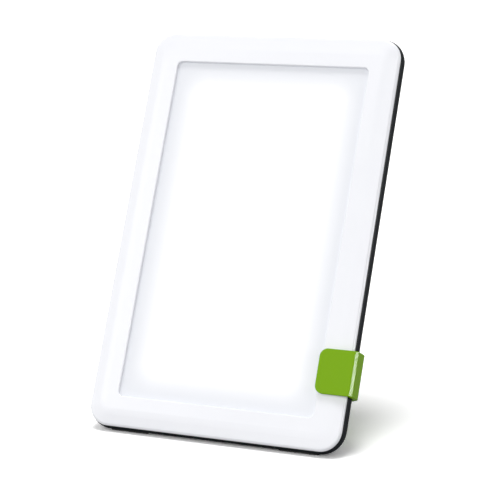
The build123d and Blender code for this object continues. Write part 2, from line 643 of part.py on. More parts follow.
outer_gap = HOOK_GAP + HOOK_SIDE_WALL
hook_outline = [
    (tab_x, tab_front),
    (hook_outer_x - HOOK_BEVEL, tab_front),
    (hook_outer_x, tab_front + HOOK_BEVEL),
    (hook_outer_x, slope_depth(outer_gap, hook_outer_x)),
    (beside_slope(outer_gap, BODY_DEPTH), BODY_DEPTH),
    (band_end_x, BODY_DEPTH),
    (band_end_x, band_inner),
    (beside_slope(HOOK_GAP, band_inner), band_inner),
    (hook_inner_x, slope_depth(HOOK_GAP, hook_inner_x)),
    (hook_inner_x, -TAB_GAP),
    (tab_x, -TAB_GAP),
]
hook_rounds = [0, HOOK_BEVEL_ROUND, HOOK_BEVEL_ROUND, EDGE_ROUND + outer_gap,
               HOOK_BACK_ROUND, 0, 0, HOOK_BEND_IN, EDGE_ROUND + HOOK_GAP, HOOK_BEND_IN, 0]
knuckle_lows = [CLIP_LOW, clip_high - KNUCKLE_LENGTH]
bore_radius = PIN_RADIUS + PIN_GAP
pocket_start = hinge_x + POCKET_START_GAP
pocket_span = beside_slope(0, channel_floor) - POCKET_END_GAP - pocket_start
pocket_pitch = (pocket_span + POCKET_RIB) / BAND_POCKETS
with BuildPart() as stand_hook:
    with BuildSketch(section(CLIP_LOW)):
        with BuildLine():
            FilletPolyline(*hook_outline, radius=hook_rounds, close=True)
        make_face()
    extrude(amount=CLIP_HEIGHT)
    for knuckle_low in knuckle_lows:
        with BuildSketch(section(knuckle_low)):
            with Locations((hinge_x, hinge_depth)):
                Circle(hinge_radius)
                Rectangle(band_end_x - hinge_x, band_thick, align=(Align.MIN, Align.CENTER))
        extrude(amount=KNUCKLE_LENGTH)
    # the tab's free corners, then all edges of the two sides and those round the tab's end
    tab_end = stand_hook.edges().filter_by(face_axis).filter_by_position(
        x_axis, tab_x - NEAR, tab_x + NEAR)
    fillet(tab_end, radius=TAB_CORNER)
    side_groups = stand_hook.faces().filter_by(up_axis).group_by(up_axis)
    side_edges = side_groups[0].edges() + side_groups[-1].edges()
    corner_edges = side_edges.filter_by(face_axis).filter_by_position(
        x_axis, tab_x, tab_x + TAB_CORNER + NEAR)
    fillet(side_edges - corner_edges, radius=HOOK_EDGE_ROUND)
    # pockets that keep the band's wall even, open towards the channel floor
    with BuildSketch(level(band_inner)):
        with Locations(at(pocket_start + pocket_span / 2, clip_mid)):
            with GridLocations(pocket_pitch, 0, BAND_POCKETS, 1):
                Rectangle(pocket_pitch - POCKET_RIB, CLIP_HEIGHT - 2 * BAND_SKIN)
    extrude(amount=BAND_SKIN - band_thick, mode=Mode.SUBTRACT)
    # bore of the hinge
    with BuildSketch(section(CLIP_LOW)):
        with Locations((hinge_x, hinge_depth)):
            Circle(bore_radius)
    extrude(amount=CLIP_HEIGHT, mode=Mode.SUBTRACT)
finish(stand_hook, "stand_hook")

# ---- hinge pin and the washers between the knuckles ----
with BuildPart() as hinge_pin:
    with BuildSketch(section(CLIP_LOW + PIN_SINK)):
        with Locations((hinge_x, hinge_depth)):
            Circle(PIN_RADIUS)
    extrude(amount=CLIP_HEIGHT - 2 * PIN_SINK)
    chamfer(hinge_pin.edges().filter_by(GeomType.CIRCLE), length=PIN_BEVEL)
finish(hinge_pin, "hinge_pin")

washer_lows = [CLIP_LOW + KNUCKLE_LENGTH + KNUCKLE_GAP,
               clip_high - KNUCKLE_LENGTH - KNUCKLE_GAP - WASHER_THICK]
with BuildPart() as hinge_washers:
    for washer_low in washer_lows:
        with BuildSketch(section(washer_low)):
            with Locations((hinge_x, hinge_depth)):
                Circle(hinge_radius - WASHER_INSET)
                Circle(bore_radius, mode=Mode.SUBTRACT)
        extrude(amount=WASHER_THICK)
finish(hinge_washers, "hinge_washers")

# ---- foot: leaf that swings out, cored on the side that folds to the channel floor ----
leaf_start = BODY_DEPTH + LEAF_GAP
foot_knuckle_inset = KNUCKLE_LENGTH + 2 * KNUCKLE_GAP + WASHER_THICK


def floor_up(depth, height):
    """Height along the face of a point at a depth that lies this far above the floor."""
    return (height - edge_z + depth * sin(tilt)) / cos(tilt)


def floor_depth(up, height):
    """Depth of a point at a height along the face that lies this far above the floor."""
    return (edge_z + up * cos(tilt) - height) / sin(tilt)


pad_front = floor_depth(CLIP_LOW, PAD_LIFT)
pad_top_front = floor_up(pad_front, PAD_THICK)
pad_top_end = floor_up(LEAF_END_DEPTH, PAD_THICK)
leaf_outline = [
    (leaf_start, CLIP_LOW),
    (pad_front, CLIP_LOW),
    (pad_front, pad_top_front),
    (LEAF_END_DEPTH, pad_top_end),
    (LEAF_END_DEPTH, pad_top_end + LEAF_TIP_HEIGHT),
    (leaf_start + LEAF_SHOULDER, clip_high),
    (leaf_start, clip_high),
]
leaf_rounds = [LEAF_CORNER, 0, 0, 0, LEAF_TIP_ROUND, LEAF_SHOULDER, LEAF_CORNER]
rib_pitch = (LEAF_END_DEPTH - leaf_start) / (LEAF_RIBS + 1)
rib_middle = (LEAF_END_DEPTH + leaf_start) / 2
with BuildPart() as stand_foot:
    with BuildSketch(side(hinge_x - hinge_radius)):
        with BuildLine():
            FilletPolyline(*leaf_outline, radius=leaf_rounds, close=True)
        make_face()
    extrude(amount=2 * hinge_radius)
    outer_x = hinge_x + hinge_radius
    outer_edges = stand_foot.edges().filter_by_position(x_axis, outer_x - NEAR, outer_x + NEAR)
    fillet(outer_edges.filter_by_position(Axis.Z, PAD_THICK + NEAR, BODY_HEIGHT),
           radius=LEAF_EDGE_ROUND)
    with BuildSketch(side(hinge_x - hinge_radius)):
        with BuildLine():
            FilletPolyline(*leaf_outline, radius=leaf_rounds, close=True)
        make_face()
        offset(amount=-LEAF_WALL)
        with Locations((rib_middle, clip_mid)):
            with GridLocations(rib_pitch, 0, LEAF_RIBS, 1):
                Rectangle(LEAF_RIB, 2 * CLIP_HEIGHT, mode=Mode.SUBTRACT)
    extrude(amount=2 * hinge_radius - LEAF_SKIN, mode=Mode.SUBTRACT)
    with BuildSketch(section(CLIP_LOW + foot_knuckle_inset)):
        with Locations((hinge_x, hinge_depth)):
            Circle(hinge_radius)
            Rectangle(2 * hinge_radius, leaf_start - hinge_depth + LEAF_WALL,
                      align=(Align.CENTER, Align.MIN))
            Circle(bore_radius, mode=Mode.SUBTRACT)
    extrude(amount=CLIP_HEIGHT - 2 * foot_knuckle_inset)
finish(stand_foot, "stand_foot")

with BuildPart() as foot_pad:
    with BuildSketch(side(hinge_x - hinge_radius)):
        with BuildLine():
            Polyline((pad_front, CLIP_LOW), (floor_depth(CLIP_LOW, 0), CLIP_LOW),
                     (LEAF_END_DEPTH, floor_up(LEAF_END_DEPTH, 0)),
                     (LEAF_END_DEPTH, pad_top_end), (pad_front, pad_top_front), close=True)
        make_face()
    extrude(amount=2 * hinge_radius)
finish(foot_pad, "foot_pad")
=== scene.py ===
"""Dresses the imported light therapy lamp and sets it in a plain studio.

The lamp is a slim casing with a glossy white front, an opal light panel and a dished black
back. It leans on a green clip whose foot swings out behind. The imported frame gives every
piece its place. This script gives each one its finish, and swaps the plain fasteners, LED
packages and rubber feet for detailed ones of the same size.
"""
from __future__ import annotations

import json
import logging
import math
from collections.abc import Callable
from dataclasses import dataclass
from enum import Enum

import bmesh
import bpy
from bmesh.types import BMesh
from bpy.types import Material, NodeSocket, NodeTree, Object
from mathutils import Euler, Matrix, Vector

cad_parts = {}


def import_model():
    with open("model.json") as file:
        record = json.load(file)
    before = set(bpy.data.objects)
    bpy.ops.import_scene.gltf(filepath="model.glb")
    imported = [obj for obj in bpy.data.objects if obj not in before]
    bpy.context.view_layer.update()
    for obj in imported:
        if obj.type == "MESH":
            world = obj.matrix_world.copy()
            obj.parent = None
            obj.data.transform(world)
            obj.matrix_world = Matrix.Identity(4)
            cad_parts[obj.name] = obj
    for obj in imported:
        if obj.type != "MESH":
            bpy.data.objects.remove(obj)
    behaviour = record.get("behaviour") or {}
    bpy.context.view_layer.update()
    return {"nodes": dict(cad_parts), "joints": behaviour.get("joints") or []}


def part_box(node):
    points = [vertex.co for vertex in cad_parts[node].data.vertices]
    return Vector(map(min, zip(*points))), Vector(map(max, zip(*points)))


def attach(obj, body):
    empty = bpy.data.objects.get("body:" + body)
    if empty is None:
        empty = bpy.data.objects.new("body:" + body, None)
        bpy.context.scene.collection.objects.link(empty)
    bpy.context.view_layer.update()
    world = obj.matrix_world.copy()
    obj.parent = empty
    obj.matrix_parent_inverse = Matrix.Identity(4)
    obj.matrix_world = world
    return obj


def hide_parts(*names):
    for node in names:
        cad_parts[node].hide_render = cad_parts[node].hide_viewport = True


LOG = logging.getLogger("therapy_lamp")
MM = 0.001
LEAN_JOINT = "foot_swing"    # its axis runs up along the leaning face

# Sockets of a colour Mix node, whose names repeat for every kind of value.
MIX_FACTOR, MIX_A, MIX_B, MIX_RESULT = 0, 6, 7, 2

# Most values of a noise texture lie between these two.
NOISE_LOW, NOISE_HIGH = 0.3, 0.7

Rings = list[tuple[Callable[[float], float], float]]


# ---- small helpers


def linear(hex_colour: str) -> tuple[float, float, float, float]:
    """Turns an sRGB hex colour into the linear values that shaders take.

    Args:
        hex_colour: Six hex digits after a hash sign, such as "#80b020".

    Returns:
        Red, green, blue and an alpha of 1.
    """
    parts = [int(hex_colour[i:i + 2], 16) / 255 for i in (1, 3, 5)]
    red, green, blue = (
        part / 12.92 if part <= 0.04045 else ((part + 0.055) / 1.055) ** 2.4 for part in parts
    )
    return red, green, blue, 1.0


def add_node(tree: NodeTree, kind: str, inputs: dict | None = None,
             **settings: object) -> bpy.types.Node:
    """Adds one node with its settings, and fills or links its inputs.

    Args:
        tree: The node tree that takes the node.
        kind: The node's type name.
        inputs: Values or output sockets by input name or number.
        **settings: Properties of the node itself.

    Returns:
        The new node.
    """
    node = tree.nodes.new(kind)
    for name, value in settings.items():
        setattr(node, name, value)
    for name, value in (inputs or {}).items():
        if isinstance(value, NodeSocket):
            tree.links.new(value, node.inputs[name])
        else:
            node.inputs[name].default_value = value
    return node


def new_material(name: str) -> Material:
    """Makes a material with an empty node tree.

    Args:
        name: The material's name.

    Returns:
        The new material.
    """
    material = bpy.data.materials.new(name)
    material.use_nodes = True
    material.node_tree.nodes.clear()
    return material


def new_object(name: str, data: bpy.types.ID) -> Object:
    """Adds an object that shows a mesh, a lamp or a camera to the scene.

    Args:
        name: The object's name.
        data: The mesh, lamp or camera.

    Returns:
        The linked object.
    """
    thing = bpy.data.objects.new(name, data)
    bpy.context.scene.collection.objects.link(thing)
    return thing


def new_piece(name: str, bm: BMesh, place: Matrix) -> Object:
    """Turns a bmesh in millimetres into an object whose place is in its mesh.

    Args:
        name: The piece's name.
        bm: The shape, in millimetres, freed here.
        place: Turns local metres into the row frame.

    Returns:
        The linked object, at the origin, unturned and unscaled.
    """
    bmesh.ops.remove_doubles(bm, verts=bm.verts, dist=1e-5)
    bmesh.ops.recalc_face_normals(bm, faces=bm.faces)
    mesh = bpy.data.meshes.new(name)
    bm.to_mesh(mesh)
    bm.free()
    mesh.transform(place @ Matrix.Scale(MM, 4))
    return new_object(name, mesh)


def smooth(piece: Object, crease_degrees: float = 35.0) -> None:
    """Shades a piece smooth, but keeps its edges sharper than an angle crisp."""
    piece.data.shade_smooth()
    piece.data.set_sharp_from_angle(angle=math.radians(crease_degrees))


def dress(piece: Object, material: Material) -> None:
    """Gives a piece one material in all its slots.

    Args:
        piece: The piece, with or without slots so far.
        material: Its finish.
    """
    if not piece.material_slots:
        piece.data.materials.append(material)
    for slot in piece.material_slots:
        slot.material = material


def corners(points: list[Vector]) -> tuple[Vector, Vector]:
    """Lowest and highest coordinates of some points."""
    low = Vector([min(p[i] for p in points) for i in range(3)])
    return low, Vector([max(p[i] for p in points) for i in range(3)])


def revolve(bm: BMesh, rings: Rings, steps: int) -> None:
    """Adds a closed shape whose level rings have a radius that may vary with the angle.

    Args:
        bm: The bmesh that takes the shape.
        rings: A radius function and a height for each ring, from one end to the other.
        steps: Vertices round each ring.
    """
    loops = []
    for radius, height in rings:
        turns = [2 * math.pi * step / steps for step in range(steps)]
        loops.append([bm.verts.new((radius(a) * math.cos(a), radius(a) * math.sin(a), height))
                      for a in turns])
    for lower, upper in zip(loops, loops[1:]):
        for step in range(steps):
            after = (step + 1) % steps
            bm.faces.new((lower[step], lower[after], upper[after], upper[step]))
    bm.faces.new(loops[0][::-1])
    bm.faces.new(loops[-1])


def rounded_block(size: Vector, centre: Vector, corner: float, edge: float) -> BMesh:
    """Makes a block with rounded upright corners and softened top and bottom edges.

    Args:
        size: Its full size along x, y and z.
        centre: Its middle.
        corner: Radius of the upright corners.
        edge: Radius of the top and bottom edges.

    Returns:
        The block in a bmesh of its own.
    """
    bm = bmesh.new()
    bmesh.ops.create_cube(bm, size=1.0)
    bmesh.ops.scale(bm, vec=size, verts=bm.verts)
    bmesh.ops.translate(bm, vec=centre, verts=bm.verts)
    # The four upright edges come first, then the level ones round both ends.
    for level, radius in ((False, corner), (True, edge)):
        chosen = [e for e in bm.edges
                  if math.isclose(e.verts[0].co.z, e.verts[1].co.z, abs_tol=1e-6) == level]
        bmesh.ops.bevel(bm, geom=chosen, offset=radius, segments=2, affect="EDGES", profile=0.5)
    return bm


# ---- the casing's directions


@dataclass(frozen=True)
class Lean:
    """The directions of the leaning casing: x to the right, y up the face, z out of it.

    Its coordinates count from the middle of the light panel.
    """

    centre: Vector
    up: Vector

    @property
    def outward(self) -> Vector:
        """Direction out of the front face."""
        return Vector((1, 0, 0)).cross(self.up)

    @property
    def turn(self) -> float:
        """Angle of the face's up direction about the x axis, in radians."""
        return math.atan2(self.up.z, self.up.y)

    @property
    def matrix(self) -> Matrix:
        """Turns casing coordinates into the row frame, both in metres."""
        return Matrix.Translation(self.centre) @ Matrix.Rotation(self.turn, 4, "X")

    def at(self, place_mm: Vector) -> Matrix:
        """The same for a piece whose origin lies at a place on the casing."""
        return self.matrix @ Matrix.Translation(place_mm * MM)

    def extent(self, node: Object) -> tuple[Vector, Vector]:
        """Measures a node's mesh along the casing's directions.

        Args:
            node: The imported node.

        Returns:
            Its lowest and its highest casing coordinates, in millimetres.
        """
        back = self.matrix.inverted()
        points = [back @ vertex.co / MM for vertex in node.data.vertices]
        return corners(points)

    def coordinates(self, tree: NodeTree, centre_mm: Vector) -> NodeSocket:
        """Adds nodes that give a material the casing's own coordinates.

        Args:
            tree: The material's nodes.
            centre_mm: Where the coordinates start, counted on the casing.

        Returns:
            The coordinates in metres.
        """
        place = add_node(tree, "ShaderNodeTexCoord")
        turned = add_node(tree, "ShaderNodeMapping", {
            "Vector": place.outputs["Object"],
            "Location": self.matrix @ (centre_mm * MM),
            "Rotation": (self.turn, 0.0, 0.0),
        }, vector_type="TEXTURE")
        return turned.outputs["Vector"]


# ---- finishes


class Relief(Enum):
    """Depth in millimetres that a moulding tool's surface leaves on the plastic."""

    POLISHED = 0.0004
    SATIN = 0.005
    SPARK_ERODED = 0.02
    RUBBER = 0.03


@dataclass(frozen=True)
class Finish:
    """What every finish has: a name, and a surface that each kind describes itself."""

    name: str

    def surface(self, tree: NodeTree) -> NodeSocket:
        """Adds the surface's nodes to a tree.

        Args:
            tree: The material's nodes.

        Returns:
            The shader that they end in.
        """
        raise NotImplementedError

    def build(self) -> Material:
        """Makes the material.

        Returns:
            The material, whose only output shows the surface.
        """
        material = new_material(self.name)
        tree = material.node_tree
        add_node(tree, "ShaderNodeOutputMaterial", {"Surface": self.surface(tree)})
        return material


@dataclass(frozen=True)
class MouldedPlastic(Finish):
    """Injection-moulded plastic or rubber, with the grain of its tool.

    The fine noise is the tool's surface. It breaks up the highlights and spreads the gloss
    a little. A second, wide noise gives the faint flow marks and shrinkage that keep a large
    moulded face from looking like flat paint. A plastic with a sheen has its gloss in a thin
    skin that the tool's texture breaks up, so that it stays deep in colour and mirrors
    little even at a flat angle.
    """

    colour: str
    flow_colour: str
    roughness: float
    relief: Relief
    grain_mm: float = 0.35
    flow_mm: float = 28.0
    ior: float = 1.5
    specular: float = 0.5
    sheen_skin: float = 0.0
    gloss_spread: tuple[float, float] = (0.9, 1.12)

    def surface(self, tree: NodeTree) -> NodeSocket:
        """Adds the nodes of plastic with its tool's grain.

        Args:
            tree: The material's nodes.

        Returns:
            The shader that they end in.
        """
        place = add_node(tree, "ShaderNodeTexCoord").outputs["Object"]
        flow = add_node(tree, "ShaderNodeTexNoise", {
            "Vector": place, "Scale": 1 / (self.flow_mm * MM), "Detail": 2.0, "Roughness": 0.45})
        grain = add_node(tree, "ShaderNodeTexNoise", {
            "Vector": place, "Scale": 1 / (self.grain_mm * MM), "Detail": 3.0, "Roughness": 0.6})
        colour = add_node(tree, "ShaderNodeMix", {
            MIX_FACTOR: flow.outputs["Fac"], MIX_A: linear(self.colour),
            MIX_B: linear(self.flow_colour)}, data_type="RGBA")
        gloss = add_node(tree, "ShaderNodeMapRange", {
            "Value": grain.outputs["Fac"], "From Min": NOISE_LOW, "From Max": NOISE_HIGH,
            "To Min": self.roughness * self.gloss_spread[0],
            "To Max": self.roughness * self.gloss_spread[1]})
        bump = add_node(tree, "ShaderNodeBump", {
            "Height": grain.outputs["Fac"], "Strength": 1.0, "Distance": self.relief.value * MM})
        shader = add_node(tree, "ShaderNodeBsdfPrincipled", {
            "Base Color": colour.outputs[MIX_RESULT], "Roughness": gloss.outputs["Result"],
            "IOR": self.ior, "Specular IOR Level": self.specular,
            "Coat Weight": self.sheen_skin, "Coat Roughness": self.roughness,
            "Coat IOR": self.ior, "Coat Normal": bump.outputs["Normal"],
            "Normal": bump.outputs["Normal"]})
        return shader.outputs["BSDF"]


@dataclass(frozen=True)
class OpalPanel(Finish):
    """Satin opal acrylic lit from behind.

    The light mixes well in its middle, which burns out to white. Along the edges the tray's
    walls take light away: that shade is painted into the colour, greyer and cooler towards
    the edges, and the faint glow takes the same painted colour.
    """

    lean: Lean
    half_width_mm: float
    half_height_mm: float
    # Painted shade: over this band the colour fades from the middle to the greyer, cooler edge.
    shade_band_mm: float = 22.0
    middle: str = "#fbfbfd"
    edge: str = "#dddfe4"
    glow: float = 0.08
    grain_mm: float = 0.5
    relief_mm: float = 0.004
    roughness: float = 0.42
    ior: float = 1.49

    def surface(self, tree: NodeTree) -> NodeSocket:
        """Adds the nodes of the lit panel.

        Args:
            tree: The material's nodes.

        Returns:
            The shader that they end in.
        """
        place = add_node(tree, "ShaderNodeSeparateXYZ",
                         {"Vector": self.lean.coordinates(tree, Vector())})
        shares = []
        for axis, half in (("X", self.half_width_mm), ("Y", self.half_height_mm)):
            size = add_node(tree, "ShaderNodeMath", {0: place.outputs[axis]},
                            operation="ABSOLUTE")
            share = add_node(tree, "ShaderNodeMapRange", {
                "Value": size.outputs["Value"], "From Min": (half - self.shade_band_mm) * MM,
                "From Max": half * MM, "To Min": 1.0, "To Max": 0.0},
                interpolation_type="SMOOTHSTEP")
            shares.append(share.outputs["Result"])
        both = add_node(tree, "ShaderNodeMath", {0: shares[0], 1: shares[1]},
                        operation="MULTIPLY")
        # Painted shade: the colour and the glow grow greyer and cooler towards the edges.
        colour = add_node(tree, "ShaderNodeMix", {
            MIX_FACTOR: both.outputs["Value"], MIX_A: linear(self.edge),
            MIX_B: linear(self.middle)}, data_type="RGBA")
        grain = add_node(tree, "ShaderNodeTexNoise", {
            "Vector": add_node(tree, "ShaderNodeTexCoord").outputs["Object"],
            "Scale": 1 / (self.grain_mm * MM), "Detail": 2.0})
        bump = add_node(tree, "ShaderNodeBump", {
            "Height": grain.outputs["Fac"], "Distance": self.relief_mm * MM})
        shader = add_node(tree, "ShaderNodeBsdfPrincipled", {
            "Base Color": colour.outputs[MIX_RESULT], "Roughness": self.roughness,
            "IOR": self.ior, "Normal": bump.outputs["Normal"],
            "Emission Color": colour.outputs[MIX_RESULT], "Emission Strength": self.glow})
        return shader.outputs["BSDF"]


@dataclass(frozen=True)
class Metal(Finish):
    """Bare or plated metal with the fine marks of its forming.

    The noise is stretched along the direction in which the metal was drawn or ground, so
    that highlights break into short streaks.
    """

    colour: str
    roughness: float
    scratch_mm: float = 0.2
    relief_mm: float = 0.004
    gloss_spread: tuple[float, float] = (0.75, 1.25)
    stretch: tuple[float, float, float] = (1.0, 1.0, 1.0)

    def surface(self, tree: NodeTree) -> NodeSocket:
        """Adds the nodes of streaked metal.

        Args:
            tree: The material's nodes.

        Returns:
            The shader that they end in.
        """
        place = add_node(tree, "ShaderNodeMapping", {
            "Vector": add_node(tree, "ShaderNodeTexCoord").outputs["Object"],
            "Scale": self.stretch})
        noise = add_node(tree, "ShaderNodeTexNoise", {
            "Vector": place.outputs["Vector"], "Scale": 1 / (self.scratch_mm * MM),
            "Detail": 4.0})
        gloss = add_node(tree, "ShaderNodeMapRange", {
            "Value": noise.outputs["Fac"], "From Min": NOISE_LOW, "From Max": NOISE_HIGH,
            "To Min": self.roughness * self.gloss_spread[0],
            "To Max": self.roughness * self.gloss_spread[1]})
        bump = add_node(tree, "ShaderNodeBump", {
            "Height": noise.outputs["Fac"], "Distance": self.relief_mm * MM})
        shader = add_node(tree, "ShaderNodeBsdfPrincipled", {
            "Base Color": linear(self.colour), "Metallic": 1.0,
            "Roughness": gloss.outputs["Result"], "Normal": bump.outputs["Normal"]})
        return shader.outputs["BSDF"]


@dataclass(frozen=True)
class SolderMask(Finish):
    """Printed circuit board under its lacquer.

    Copper areas stand a little proud and show through lighter, with narrow etched gaps
    between them. The lacquer flows over both and stays glossy.
    """

    lean: Lean
    over_copper: str
    over_gap: str
    area_mm: tuple[float, float] = (12.0, 5.0)
    gap_mm: float = 0.35
    copper_mm: float = 0.035
    ripple_mm: float = 1.2
    gloss: tuple[float, float] = (0.2, 0.36)
    ior: float = 1.55

    def surface(self, tree: NodeTree) -> NodeSocket:
        """Adds the nodes of lacquered copper.

        Args:
            tree: The material's nodes.

        Returns:
            The shader that they end in.
        """
        copper = add_node(tree, "ShaderNodeTexBrick", {
            "Vector": self.lean.coordinates(tree, Vector()), "Color1": linear(self.over_copper),
            "Color2": linear(self.over_copper), "Mortar": linear(self.over_gap),
            "Scale": 1.0, "Mortar Size": self.gap_mm * MM, "Mortar Smooth": 0.3,
            "Brick Width": self.area_mm[0] * MM, "Row Height": self.area_mm[1] * MM},
            offset=0.37, offset_frequency=2, squash=0.6, squash_frequency=3)
        bump = add_node(tree, "ShaderNodeBump", {
            "Height": copper.outputs["Fac"], "Distance": self.copper_mm * MM}, invert=True)
        ripple = add_node(tree, "ShaderNodeTexNoise", {
            "Vector": add_node(tree, "ShaderNodeTexCoord").outputs["Object"],
            "Scale": 1 / (self.ripple_mm * MM)})
        gloss = add_node(tree, "ShaderNodeMapRange", {
            "Value": ripple.outputs["Fac"], "To Min": self.gloss[0], "To Max": self.gloss[1]})
        shader = add_node(tree, "ShaderNodeBsdfPrincipled", {
            "Base Color": copper.outputs["Color"], "Roughness": gloss.outputs["Result"],
            "IOR": self.ior, "Normal": bump.outputs["Normal"]})
        return shader.outputs["BSDF"]


@dataclass(frozen=True)
class CellFoam(Finish):
    """Closed-cell foam strip, cut from a sheet: small round pits with dull skins.

    The pits' colour is painted darker, as shade in the hollows.
    """

    colour: str
    pit_shade_colour: str
    cell_mm: float = 0.45
    pit_mm: float = 0.12
    roughness: float = 0.85

    def surface(self, tree: NodeTree) -> NodeSocket:
        """Adds the nodes of pitted foam.

        Args:
            tree: The material's nodes.

        Returns:
            The shader that they end in.
        """
        cells = add_node(tree, "ShaderNodeTexVoronoi", {
            "Vector": add_node(tree, "ShaderNodeTexCoord").outputs["Object"],
            "Scale": 1 / (self.cell_mm * MM)})
        # Painted shade: darker at the bottom of each pit.
        colour = add_node(tree, "ShaderNodeMix", {
            MIX_FACTOR: cells.outputs["Distance"], MIX_A: linear(self.pit_shade_colour),
            MIX_B: linear(self.colour)}, data_type="RGBA")
        bump = add_node(tree, "ShaderNodeBump", {
            "Height": cells.outputs["Distance"], "Distance": self.pit_mm * MM})
        shader = add_node(tree, "ShaderNodeBsdfPrincipled", {
            "Base Color": colour.outputs[MIX_RESULT], "Roughness": self.roughness,
            "Normal": bump.outputs["Normal"]})
        return shader.outputs["BSDF"]


@dataclass(frozen=True)
class PlasticWithMetal(Finish):
    """Component of moulded plastic and metal in one piece, told apart by where they are.

    A step on one casing direction or on the distance from an axis says which is which: the
    plated pin in a power inlet, or the drawn can above a capacitor's plastic seat.
    """

    lean: Lean
    centre_mm: Vector
    plastic: str
    metal: Metal
    border_mm: float
    round_axis: bool
    grain_mm: float = 0.3
    relief_mm: float = 0.01
    roughness: float = 0.5

    def surface(self, tree: NodeTree) -> NodeSocket:
        """Adds the nodes of plastic and metal, and of the border between them.

        Args:
            tree: The material's nodes.

        Returns:
            The shader that they end in.
        """
        place = add_node(tree, "ShaderNodeSeparateXYZ", {
            "Vector": self.lean.coordinates(tree, self.centre_mm)})
        flat = add_node(tree, "ShaderNodeCombineXYZ", {
            "X": place.outputs["X"], "Y": place.outputs["Y"]})
        reach = add_node(tree, "ShaderNodeVectorMath", {0: flat.outputs["Vector"]},
                         operation="LENGTH")
        measured = reach.outputs["Value"] if self.round_axis else place.outputs["Z"]
        is_metal = add_node(tree, "ShaderNodeMath", {
            0: measured, 1: self.border_mm * MM}, operation="LESS_THAN")
        grain = add_node(tree, "ShaderNodeTexNoise", {
            "Vector": add_node(tree, "ShaderNodeTexCoord").outputs["Object"],
            "Scale": 1 / (self.grain_mm * MM)})
        bump = add_node(tree, "ShaderNodeBump", {
            "Height": grain.outputs["Fac"], "Distance": self.relief_mm * MM})
        plastic = add_node(tree, "ShaderNodeBsdfPrincipled", {
            "Base Color": linear(self.plastic), "Roughness": self.roughness,
            "Normal": bump.outputs["Normal"]})
        both = add_node(tree, "ShaderNodeMixShader", {
            0: is_metal.outputs["Value"], 1: plastic.outputs["BSDF"],
            2: self.metal.surface(tree)})
        return both.outputs["Shader"]


# ---- patterns of repeated pieces


def grid_pattern() -> NodeTree:
    """Builds the geometry nodes that set one piece on every point of a grid.

    Returns:
        A tree with named inputs for the grid, the piece, its turn and its finish.
    """
    tree = bpy.data.node_groups.new("grid_of_pieces", "GeometryNodeTree")
    for label, kind in (("Columns", "NodeSocketInt"), ("Rows", "NodeSocketInt"),
                        ("Span X", "NodeSocketFloat"), ("Span Y", "NodeSocketFloat"),
                        ("Turn", "NodeSocketFloat"), ("Seed", "NodeSocketInt"),
                        ("Piece", "NodeSocketObject"), ("Finish", "NodeSocketMaterial")):
        tree.interface.new_socket(name=label, in_out="INPUT", socket_type=kind)
    tree.interface.new_socket(name="Geometry", in_out="OUTPUT",
                              socket_type="NodeSocketGeometry")
    given = add_node(tree, "NodeGroupInput").outputs
    grid = add_node(tree, "GeometryNodeMeshGrid", {
        "Size X": given["Span X"], "Size Y": given["Span Y"],
        "Vertices X": given["Columns"], "Vertices Y": given["Rows"]})
    piece = add_node(tree, "GeometryNodeObjectInfo", {"Object": given["Piece"]})
    share = add_node(tree, "FunctionNodeRandomValue", {"Seed": given["Seed"]},
                     data_type="FLOAT")
    turned = add_node(tree, "ShaderNodeMath", {
        0: [s for s in share.outputs if s.type == "VALUE"][0], 1: given["Turn"]},
        operation="MULTIPLY")
    axis = add_node(tree, "ShaderNodeCombineXYZ", {"Z": turned.outputs["Value"]})
    placed = add_node(tree, "GeometryNodeInstanceOnPoints", {
        "Points": grid.outputs["Mesh"], "Instance": piece.outputs["Geometry"],
        "Rotation": axis.outputs["Vector"]})
    real = add_node(tree, "GeometryNodeRealizeInstances",
                    {"Geometry": placed.outputs["Instances"]})
    finished = add_node(tree, "GeometryNodeSetMaterial", {
        "Geometry": real.outputs["Geometry"], "Material": given["Finish"]})
    add_node(tree, "NodeGroupOutput", {"Geometry": finished.outputs["Geometry"]})
    return tree


@dataclass(frozen=True)
class Workshop:
    """What the sub-assemblies share: the frame's nodes, the casing's directions, a pattern."""

    nodes: dict[str, Object]
    lean: Lean
    grid: NodeTree

    def repeat(self, name: str, single: Object, values: dict[str, object],
               place: Matrix) -> Object:
        """Sets copies of one piece on a grid and keeps them as one plain mesh.

        Args:
            name: The finished group's name.
            single: The piece to repeat, which is deleted here.
            values: The pattern's other inputs by name.
            place: Turns the grid's metres into the row frame.

        Returns:
            The linked group, with no modifier on it.
        """
        seat = new_object(name + "_seat", bpy.data.meshes.new(name + "_seat"))
        modifier = seat.modifiers.new("pattern", "NODES")
        modifier.node_group = self.grid
        for item in self.grid.interface.items_tree:
            if item.in_out == "INPUT":
                modifier[item.identifier] = {"Piece": single, "Turn": 0.0, "Seed": 0,
                                             **values}[item.name]
        graph = bpy.context.evaluated_depsgraph_get()
        mesh = bpy.data.meshes.new_from_object(
            seat.evaluated_get(graph), preserve_all_data_layers=True, depsgraph=graph)
        seat.modifiers.remove(modifier)
        bpy.data.objects.remove(seat)
        bpy.data.objects.remove(single)
        mesh.name = name
        mesh.transform(place)
        return new_object(name, mesh)

    def finish_nodes(self, finishes: dict[str, Material]) -> None:
        """Gives CAD nodes their finishes.

        Args:
            finishes: A material for each node's name.
        """
        for name, finish in finishes.items():
            dress(self.nodes[name], finish)
            LOG.info("%s is %s", name, finish.name)

    def hand_over(self, piece: Object, body: str, node: str) -> None:
        """Lets a finished piece ride on a body in place of a node.

        Args:
            piece: The piece, with its place in its mesh.
            body: The body that carries it.
            node: The CAD node that it stands for.
        """
        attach(piece, body)
        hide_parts(node)
        LOG.info("%s stands for %s on %s", piece.name, node, body)


# ---- sub-assemblies


